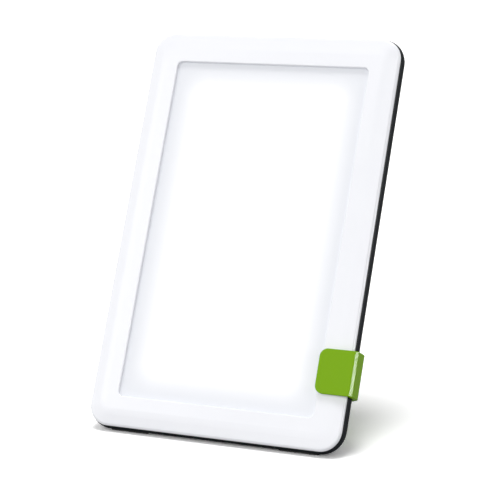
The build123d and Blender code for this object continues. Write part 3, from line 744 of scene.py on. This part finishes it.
@dataclass(frozen=True)
class Screws:
    """Pan-head screws with six-lobed sockets, one for each screw of a CAD group."""

    node: str
    columns: int
    rows: int
    head_radius_mm: float
    head_height_mm: float
    shank_radius_mm: float
    heads_in_front: bool
    seed: int
    pitch_mm: float = 0.9
    flank_mm: float = 0.3
    crest_mm: float = 0.1
    core_share: float = 0.82
    point_mm: float = 1.0
    collar_mm: float = 0.9
    lobes: int = 6
    lobe_share: float = 0.14
    steps: int = 36

    def socket(self, radius_mm: float) -> Callable[[float], float]:
        """Outline of the lobed socket, as a radius for each angle."""
        lobe = self.lobe_share
        return lambda a: radius_mm * (1 - lobe + lobe * math.cos(self.lobes * a))

    def profile(self, length_mm: float) -> Rings:
        """Lists the rings of one screw, whose head sits on zero.

        Args:
            length_mm: From the head's seat to the tip.

        Returns:
            The rings from the tip, over the thread and the crowned head, to the bottom of
            the socket.
        """
        head, rise, shank = self.head_radius_mm, self.head_height_mm, self.shank_radius_mm
        core = shank * self.core_share
        plain = [(0.35 * shank, -length_mm), (core, 0.2 - length_mm + self.point_mm * 0.6)]
        threaded_mm = length_mm - self.point_mm - self.collar_mm
        for turn in range(int(threaded_mm / self.pitch_mm)):
            height = self.point_mm - length_mm + self.pitch_mm * turn
            crest = height + self.flank_mm
            plain += [(core, height), (shank, crest), (shank, crest + self.crest_mm),
                      (core, crest + self.crest_mm + self.flank_mm)]
        plain += [(core, -0.65), (shank, -0.5), (shank, 0.0), (head * 0.98, 0.0),
                  (head, 0.06), (head, rise * 0.45), (head * 0.95, rise * 0.68),
                  (head * 0.82, rise * 0.88), (head * 0.64, rise)]
        rings: Rings = [((lambda a, r=radius: r), height) for radius, height in plain]
        rings += [(self.socket(head * 0.5), rise), (self.socket(head * 0.47), rise - 0.1),
                  (self.socket(head * 0.45), rise * 0.3), (self.socket(head * 0.1), rise * 0.2)]
        return rings

    def build(self, shop: Workshop, finish: Material) -> None:
        """Makes the group in place of its CAD node.

        Args:
            shop: The frame's nodes and the shared pattern.
            finish: The screws' material.
        """
        low, high = shop.lean.extent(shop.nodes[self.node])
        head, rise = self.head_radius_mm, self.head_height_mm
        seat = high.z - rise if self.heads_in_front else low.z + rise
        tip = low.z if self.heads_in_front else high.z
        bm = bmesh.new()
        revolve(bm, self.profile(abs(tip - seat)), self.steps)
        single = new_piece(self.node + "_single", bm, Matrix.Identity(4))
        smooth(single)
        place = shop.lean.at(Vector(((low.x + high.x) / 2, (low.y + high.y) / 2, seat)))
        if not self.heads_in_front:
            place = place @ Matrix.Rotation(math.pi, 4, "X")
        group = shop.repeat(self.node + "_detailed", single, {
            "Columns": self.columns, "Rows": self.rows,
            "Span X": (high.x - low.x - 2 * head) * MM,
            "Span Y": (high.y - low.y - 2 * head) * MM, "Turn": math.pi / 3,
            "Seed": self.seed, "Finish": finish}, place)
        shop.hand_over(group, "casing", self.node)


@dataclass(frozen=True)
class LightBoard:
    """The board behind the panel: rows of white cups filled with phosphor gel."""

    columns: int = 6
    rows: int = 10
    package_mm: tuple[float, float, float] = (3.5, 2.8, 0.7)
    rim_mm: float = 0.4
    cup_depth_mm: float = 0.25
    corner_mm: float = 0.25
    edge_mm: float = 0.05
    gel_gap_mm: float = 0.01
    gel_share: float = 0.8    # of the cup's depth and roundings

    def cup(self) -> Object:
        """Makes one package body.

        Returns:
            The body, its foot at zero and its cup open to the front.
        """
        size = Vector(self.package_mm)
        bm = rounded_block(size, Vector((0, 0, size.z / 2)), self.corner_mm, self.edge_mm)
        top = max(bm.faces, key=lambda face: (round(face.normal.z, 3), face.calc_area()))
        bmesh.ops.inset_region(bm, faces=[top], thickness=self.rim_mm)
        bmesh.ops.translate(bm, verts=top.verts, vec=Vector((0, 0, -self.cup_depth_mm)))
        return new_piece("led_cup_single", bm, Matrix.Identity(4))

    def gel(self) -> Object:
        """Makes the filling of one cup.

        Returns:
            The gel, whose top lies a little below the cup's rim.
        """
        inner = Vector((self.rim_mm + self.gel_gap_mm,) * 2)
        width, height = Vector(self.package_mm[:2]) - 2 * inner
        thick = self.cup_depth_mm * self.gel_share
        floor = self.package_mm[2] - self.cup_depth_mm + self.gel_gap_mm
        bm = rounded_block(Vector((width, height, thick)), Vector((0, 0, floor + thick / 2)),
                           self.corner_mm * self.gel_share, self.edge_mm * self.gel_share)
        return new_piece("led_gel_single", bm, Matrix.Identity(4))

    def build(self, shop: Workshop, body: Material, phosphor: Material) -> None:
        """Makes all packages in place of their CAD node.

        Args:
            shop: The frame's nodes and the shared pattern.
            body: The cups' material.
            phosphor: The gel's material.
        """
        low, high = shop.lean.extent(shop.nodes["led_packages"])
        spans = {"Span X": (high.x - low.x - self.package_mm[0]) * MM,
                 "Span Y": (high.y - low.y - self.package_mm[1]) * MM}
        place = shop.lean.at(Vector(((low.x + high.x) / 2, (low.y + high.y) / 2, low.z)))
        for name, single, finish, slot in (
                ("led_cups", self.cup(), body, "reflector_white"),
                ("led_phosphor", self.gel(), phosphor, "led_body")):
            group = shop.repeat(name, single, {
                "Columns": self.columns, "Rows": self.rows, "Finish": finish, **spans}, place)
            shop.hand_over(group, "casing", "led_packages")


@dataclass(frozen=True)
class NubbedSole:
    """Rubber sole: the plain pad, lifted a little, stands on rows of small nubs."""

    node: str
    body: str
    pads: int
    columns: int
    rows: int
    nub_radius_mm: float = 0.7
    nub_height_mm: float = 0.3
    nub_shares: tuple[tuple[float, float], ...] = (
        (0.4, 0.0), (0.78, 0.12), (0.95, 0.4), (1.0, 1.15))    # of radius and height
    margin_mm: float = 1.15
    floor_band_mm: float = 0.01
    steps: int = 12

    def nub(self) -> Object:
        """Makes one nub.

        Returns:
            The nub, which stands on zero and reaches a little into the pad.
        """
        radius, height = self.nub_radius_mm, self.nub_height_mm
        rings: Rings = [((lambda a, r=radius * share: r), height * up)
                        for share, up in self.nub_shares]
        bm = bmesh.new()
        revolve(bm, rings, self.steps)
        return new_piece(self.node + "_nub", bm, Matrix.Identity(4))

    def treads(self) -> list[tuple[Vector, Vector]]:
        """Finds the face on the floor of each pad.

        Returns:
            The lowest and the highest corner of each such face, in metres.
        """
        low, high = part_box(self.node)
        middle = (low[0] + high[0]) / 2
        points = [v.co.copy() for v in bpy.data.objects[self.node].data.vertices
                  if v.co.z < low[2] + self.floor_band_mm * MM]
        groups = [points]
        if self.pads == 2:
            groups = [[p for p in points if p.x < middle], [p for p in points if p.x > middle]]
        return [corners(group) for group in groups]

    def build(self, shop: Workshop, finish: Material) -> None:
        """Makes the sole in place of its CAD node.

        Args:
            shop: The frame's nodes and the shared pattern.
            finish: The rubber.
        """
        bm = bmesh.new()
        bm.from_mesh(shop.nodes[self.node].data)
        bmesh.ops.remove_doubles(bm, verts=bm.verts, dist=0.001 * MM)
        for vertex in bm.verts:
            vertex.co.z = max(vertex.co.z, self.nub_height_mm * MM)
        for low, high in self.treads():
            edge = Vector((self.margin_mm, self.margin_mm, 0)) * MM
            span = high - low - 2 * edge
            nubs = shop.repeat(self.node + "_nubs", self.nub(), {
                "Columns": self.columns, "Rows": self.rows, "Span X": span.x,
                "Span Y": span.y, "Finish": finish},
                Matrix.Translation((low + high) / 2))
            bm.from_mesh(nubs.data)
            bpy.data.objects.remove(nubs)
        mesh = bpy.data.meshes.new(self.node + "_nubbed")
        bm.to_mesh(mesh)
        bm.free()
        sole = new_object(self.node + "_nubbed", mesh)
        smooth(sole, crease_degrees=30.0)
        dress(sole, finish)
        shop.hand_over(sole, self.body, self.node)


@dataclass(frozen=True)
class ButtonMark:
    """The usual ring and bar of an on-off button, printed into the button's dish."""

    ring_radius_mm: float = 2.2
    stroke_mm: float = 0.5
    print_mm: float = 0.05
    gap_degrees: float = 76.0
    bar_mm: tuple[float, float] = (0.7, 2.9)
    dish_depth_mm: float = 0.5
    dish_radius_mm: float = 6.2
    ring_steps: int = 44
    bar_steps: int = 4

    def stroke(self, bm: BMesh, path: list[Vector]) -> None:
        """Adds one flat stroke that follows the dish.

        Args:
            bm: The bmesh that takes it.
            path: Its middle line, in millimetres from the middle of the dish.
        """
        rows = []
        for index, point in enumerate(path):
            before, after = path[max(index - 1, 0)], path[min(index + 1, len(path) - 1)]
            along = (after - before).normalized()
            across = Vector((-along.y, along.x)) * self.stroke_mm / 2
            row = []
            for place, lift in ((point - across, 0.0), (point + across, 0.0),
                                (point + across, self.print_mm), (point - across, self.print_mm)):
                share = 1 - place.length_squared / self.dish_radius_mm**2
                row.append(bm.verts.new((place.x, place.y, self.dish_depth_mm * share - lift)))
            rows.append(row)
        for first, second in zip(rows, rows[1:]):
            for i in range(4):
                j = (i + 1) % 4
                bm.faces.new((first[i], first[j], second[j], second[i]))
        bm.faces.new(rows[0])
        bm.faces.new(rows[-1][::-1])

    def build(self, shop: Workshop, finish: Material) -> None:
        """Prints the mark on the button, with which it moves.

        Args:
            shop: The frame's nodes and the casing's directions.
            finish: The print's material.
        """
        low, high = shop.lean.extent(shop.nodes["power_button"])
        first = math.radians(90 + self.gap_degrees / 2)
        sweep = math.radians(360 - self.gap_degrees)
        turns = [first + sweep * i / self.ring_steps for i in range(self.ring_steps + 1)]
        bm = bmesh.new()
        self.stroke(bm, [Vector((math.cos(a), math.sin(a))) * self.ring_radius_mm for a in turns])
        start, end = self.bar_mm
        self.stroke(bm, [Vector((0, start + (end - start) * i / self.bar_steps))
                         for i in range(self.bar_steps + 1)])
        place = shop.lean.at(Vector(((low.x + high.x) / 2, (low.y + high.y) / 2, low.z)))
        mark = new_piece("button_mark", bm, place)
        dress(mark, finish)
        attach(mark, "button")
        LOG.info("%s rides on button", mark.name)


@dataclass(frozen=True)
class Casing:
    """White front, opal panel, black back and the parts that hold the light together."""

    panel_lap_mm: float = 4.0    # how far the bezel covers the panel

    def dress(self, shop: Workshop) -> None:
        """Gives the casing's CAD nodes their finishes.

        Args:
            shop: The frame's nodes and the casing's directions.
        """
        lean = shop.lean
        _, panel = lean.extent(shop.nodes["diffuser_panel"])
        shop.finish_nodes({
            # A polished tool gives a wet gloss, over waves too shallow to see by themselves.
            "front_bezel": MouldedPlastic(
                "polished_white_abs", "#eeeff3", "#ebecf1", 0.16, Relief.POLISHED,
                grain_mm=2.5).build(),
            # A fine texture leaves a deep black that shines softly along its edges only.
            "rear_shell": MouldedPlastic(
                "fine_textured_black_abs", "#15191d", "#111518", 0.3, Relief.SATIN,
                specular=0.0, sheen_skin=0.18).build(),
            # Its edges are painted greyer and cooler, as shade from the tray's walls.
            "diffuser_panel": OpalPanel(
                "opal_acrylic", lean, panel.x - self.panel_lap_mm,
                panel.y - self.panel_lap_mm).build(),
            # The darker colour is painted shade in the foam's pits.
            "diffuser_gasket": CellFoam("closed_cell_foam", "#2a2a2b", "#121212").build(),
            # Filled with white pigment, it looks chalky and evenly bright.
            "reflector_tray": MouldedPlastic(
                "high_reflectance_white_polycarbonate", "#f4f4f2", "#f1f1ee", 0.38,
                Relief.SATIN).build(),
            "led_board": SolderMask("white_mask_on_aluminium", lean, "#eeeeea", "#e0e0da",
                                    area_mm=(36.0, 18.0)).build(),
        })


@dataclass(frozen=True)
class Driver:
    """Driver board with its components, the power inlet and the switch."""

    inlet_pin_mm: float = 1.15    # radius within which the inlet is its pin
    seat_mm: float = 0.9    # height of a capacitor's plastic seat

    def dress(self, shop: Workshop) -> None:
        """Gives the driver's CAD nodes their finishes.

        Args:
            shop: The frame's nodes and the casing's directions.
        """
        lean, nodes = shop.lean, shop.nodes
        jack_low, jack_high = lean.extent(nodes["dc_jack"])
        _, can_high = lean.extent(nodes["driver_capacitors"])
        # Nickel is a warm, bright mirror. The cans' aluminium is pale, with streaks along it.
        nickel = Metal("nickel_plate", "#c9c6bd", 0.18)
        # Both are dull: the chip's body is sand-like to the eye, the ferrite is like slate.
        epoxy = MouldedPlastic("moulded_black_epoxy", "#1b1b1c", "#202021", 0.6,
                               Relief.SPARK_ERODED)
        ferrite = MouldedPlastic("pressed_ferrite", "#2a2725", "#211f1e", 0.7, Relief.RUBBER)
        shop.finish_nodes({
            "driver_board": SolderMask("green_mask_on_glass_epoxy", lean, "#2c6b3f",
                                       "#1d4f2e").build(),
            "driver_chip": epoxy.build(),
            "driver_inductor": ferrite.build(),
            "driver_capacitors": PlasticWithMetal(
                "drawn_can_on_black_seat", lean, Vector((0, 0, can_high.z)), "#161616",
                Metal("drawn_aluminium", "#c4c6c8", 0.28, stretch=(1.0, 1.0, 0.15)),
                -self.seat_mm, round_axis=False).build(),
            "dc_jack": PlasticWithMetal(
                "black_pbt_with_nickel_pin", lean, (jack_low + jack_high) / 2, "#18191a",
                nickel, self.inlet_pin_mm, round_axis=True).build(),
            # Glass fibres turn the nylon greyish, and the header has a silky, even black.
            "tact_switch": MouldedPlastic("glass_filled_black_nylon", "#1c1c1d", "#242425",
                                          0.55, Relief.SATIN).build(),
            "pin_header": MouldedPlastic("header_black_lcp", "#19191a", "#202021", 0.5,
                                         Relief.SATIN).build(),
        })


@dataclass(frozen=True)
class PowerButton:
    """Dished button cap with the plunger of its switch."""

    def dress(self, shop: Workshop) -> None:
        """Gives the button's CAD nodes their finishes.

        Args:
            shop: The frame's nodes and the casing's directions.
        """
        # The cap is satin and soft to the eye, the plunger waxy and a little yellow.
        shop.finish_nodes({
            "power_button": MouldedPlastic("satin_black_abs", "#1d2021", "#1a1d1e", 0.36,
                                           Relief.SATIN).build(),
            "switch_plunger": MouldedPlastic("plain_white_acetal", "#dcdcd6", "#d6d6d0",
                                             0.4, Relief.SATIN).build(),
        })
        # The ink is an off-white without a shine.
        print_white = MouldedPlastic("pad_printed_white", "#d9dcde", "#d3d6d9", 0.5,
                                     Relief.SATIN)
        ButtonMark().build(shop, print_white.build())


@dataclass(frozen=True)
class Stand:
    """Green clip and its swing-out foot, with the steel pin and washers between them."""

    def dress(self, shop: Workshop, steel: Material) -> None:
        """Gives the stand's CAD nodes their finishes.

        Args:
            shop: The frame's nodes and the casing's directions.
            steel: The finish of the pin and the washers.
        """
        # A polished tool gives a thin clear sheen, which lights up along the clip's bend.
        green = MouldedPlastic("polished_green_abs", "#7aa80c", "#77a50b", 0.08,
                               Relief.POLISHED, specular=0.0, sheen_skin=0.2).build()
        shop.finish_nodes({"stand_hook": green, "stand_foot": green,
                           "hinge_pin": steel, "hinge_washers": steel})


# ---- studio


@dataclass(frozen=True)
class SoftLight:
    """A lamp far away that looks as large as its spread.

    Its azimuth is 0 in front and 90 at the right. The strength is the light on a surface
    that faces it, in watts per square metre. All angles are in degrees.
    """

    name: str
    azimuth: float
    elevation: float
    strength: float
    spread: float

    def build(self) -> None:
        """Hangs the lamp up."""
        lamp = bpy.data.lights.new(self.name, "SUN")
        lamp.energy = self.strength
        lamp.angle = math.radians(self.spread)
        holder = new_object(self.name, lamp)
        a, e = math.radians(self.azimuth), math.radians(self.elevation)
        towards = Vector((math.sin(a) * math.cos(e), -math.cos(a) * math.cos(e), math.sin(e)))
        holder.rotation_mode = "QUATERNION"
        holder.rotation_quaternion = towards.to_track_quat("Z", "Y")


@dataclass(frozen=True)
class Studio:
    """A white paper floor, soft lamps in a dim room, and the camera.

    The boxes and fills light the lamp. The two sheens and the two strips are small, and
    stand where the flat front, the clip's bend and the black rim mirror them.
    """

    lights: tuple[SoftLight, ...] = (
        SoftLight("overhead_box", 0, 89, 1.38, 20),
        SoftLight("left_box", -66, 34, 0.9, 74),
        SoftLight("left_sheen", -39, 31, 0.13, 16),
        SoftLight("top_sheen", -28, 47, 0.07, 18),
        SoftLight("front_fill", 5, 16, 1.18, 60),
        SoftLight("right_strip", 73.8, 15.5, 0.32, 5),
        SoftLight("rim_strip", 113, 3, 0.35, 8),
        SoftLight("back_fill", 180, 34, 0.75, 80),
    )
    floor_m: float = 14.0
    floor_grey: str = "#b4b4b4"    # as a source of light on the lamp from below
    floor_lift: float = 1.34    # as seen, above 1 so that the paper is white to the eye
    floor_mirrored: float = 0.95    # as seen in metal and gloss
    room: float = 0.2    # the room's strength as a light
    camera_mm: tuple[float, float, float] = (449.5, -965.6, 207.0)
    camera_degrees: tuple[float, float, float] = (78.468, 0.707, 24.605)
    lens_mm: float = 138.36

    def rays(self, tree: NodeTree) -> tuple[NodeSocket, ...]:
        """Adds nodes that tell what is seen from what only gives light.

        Args:
            tree: The nodes of the floor or the room.

        Returns:
            Two sockets that are 1 in the camera's view, and in what metal and glass show.
        """
        path = add_node(tree, "ShaderNodeLightPath").outputs
        mirrored = add_node(tree, "ShaderNodeMath", {
            0: path["Is Glossy Ray"], 1: path["Is Transmission Ray"]}, operation="MAXIMUM")
        return path["Is Camera Ray"], mirrored.outputs["Value"]

    def floor(self) -> None:
        """Makes the floor: white to look at, while it throws little light back."""
        bm = bmesh.new()
        bmesh.ops.create_grid(bm, x_segments=1, y_segments=1, size=self.floor_m / 2 / MM)
        floor = new_piece("floor", bm, Matrix.Identity(4))
        material = new_material("white_paper")
        tree = material.node_tree
        camera, mirrored = self.rays(tree)
        colour = add_node(tree, "ShaderNodeMix", {
            MIX_FACTOR: mirrored, MIX_A: linear(self.floor_grey),
            MIX_B: (self.floor_mirrored,) * 3 + (1.0,)}, data_type="RGBA")
        colour = add_node(tree, "ShaderNodeMix", {
            MIX_FACTOR: camera, MIX_A: colour.outputs[MIX_RESULT],
            MIX_B: (self.floor_lift,) * 3 + (1.0,)}, data_type="RGBA")
        shader = add_node(tree, "ShaderNodeBsdfDiffuse", {"Color": colour.outputs[MIX_RESULT]})
        add_node(tree, "ShaderNodeOutputMaterial", {"Surface": shader.outputs["BSDF"]})
        dress(floor, material)

    def surround(self) -> None:
        """Makes the room: white to look at past the floor's edge, and dim as a light."""
        world = bpy.data.worlds.new("studio")
        world.use_nodes = True
        tree = world.node_tree
        tree.nodes.clear()
        dim = add_node(tree, "ShaderNodeBackground", {
            "Color": linear("#ffffff"), "Strength": self.room})
        white = add_node(tree, "ShaderNodeBackground", {
            "Color": linear("#ffffff"), "Strength": 1.0})
        camera, mirrored = self.rays(tree)
        seen = add_node(tree, "ShaderNodeMath", {0: camera, 1: mirrored}, operation="MAXIMUM")
        mix = add_node(tree, "ShaderNodeMixShader", {
            0: seen.outputs["Value"], 1: dim.outputs["Background"], 2: white.outputs["Background"]})
        add_node(tree, "ShaderNodeOutputWorld", {"Surface": mix.outputs["Shader"]})
        bpy.context.scene.world = world

    def camera(self, face: Vector) -> None:
        """Sets the camera up.

        Args:
            face: The middle of the lamp's face, from which the camera's place counts.
        """
        lens = bpy.data.cameras.new("camera")
        lens.lens = self.lens_mm
        lens.sensor_width = 36.0
        lens.clip_start, lens.clip_end = 0.05, 50.0
        holder = new_object("camera", lens)
        holder.location = face + Vector(self.camera_mm) * MM
        holder.rotation_euler = Euler([math.radians(a) for a in self.camera_degrees], "XYZ")
        bpy.context.scene.camera = holder

    def build(self, face: Vector) -> None:
        """Sets the whole studio up.

        Args:
            face: The middle of the lamp's face.
        """
        self.floor()
        self.surround()
        for light in self.lights:
            light.build()
        self.camera(face)
        bpy.context.scene.view_settings.view_transform = "Standard"


def main() -> None:
    """Builds the lamp's looks round its frame, and the studio round the lamp."""
    logging.basicConfig(level=logging.INFO, format="%(name)s: %(message)s")
    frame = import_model()
    nodes = frame["nodes"]
    up = next(Vector(j["axis"]) for j in frame["joints"] if j["name"] == LEAN_JOINT)
    panel_low, panel_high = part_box("diffuser_panel")
    lean = Lean((panel_low + panel_high) / 2, up.normalized())
    shop = Workshop(nodes, lean, grid_pattern())

    # Zinc is pale and faintly blue, with soft streaks. The rubber is charcoal and dull.
    steel = Metal("zinc_plated_steel", "#b9bcc0", 0.3).build()
    rubber = MouldedPlastic("moulded_black_rubber", "#1d1d1d", "#232323", 0.7,
                            Relief.RUBBER).build()
    # The cups are chalky, and their gel is smooth and wet, and yellow like egg yolk.
    cup_white = MouldedPlastic("moulded_white_ppa", "#f0f0ec", "#ecece8", 0.45,
                               Relief.SATIN).build()
    phosphor = MouldedPlastic("phosphor_in_silicone", "#e8c95a", "#e2bf4c", 0.3,
                              Relief.SATIN, grain_mm=0.15).build()
    Casing().dress(shop)
    LightBoard().build(shop, cup_white, phosphor)
    Driver().dress(shop)
    PowerButton().dress(shop)
    Stand().dress(shop, steel)
    Screws("shell_screws", 2, 3, 2.5, 1.8, 1.25, heads_in_front=False, seed=7).build(shop, steel)
    Screws("board_screws", 2, 2, 2.0, 1.1, 1.0, heads_in_front=False, seed=3).build(shop, steel)
    Screws("driver_screws", 2, 2, 2.0, 1.1, 1.0, heads_in_front=True, seed=5).build(shop, steel)
    NubbedSole("bottom_feet", "casing", pads=2, columns=11, rows=2).build(shop, rubber)
    NubbedSole("foot_pad", "foot", pads=1, columns=2, rows=7).build(shop, rubber)

    _, bezel_high = lean.extent(nodes["front_bezel"])
    Studio().build(lean.centre + lean.outward * bezel_high.z * MM)


if __name__ == "__main__":
    main()
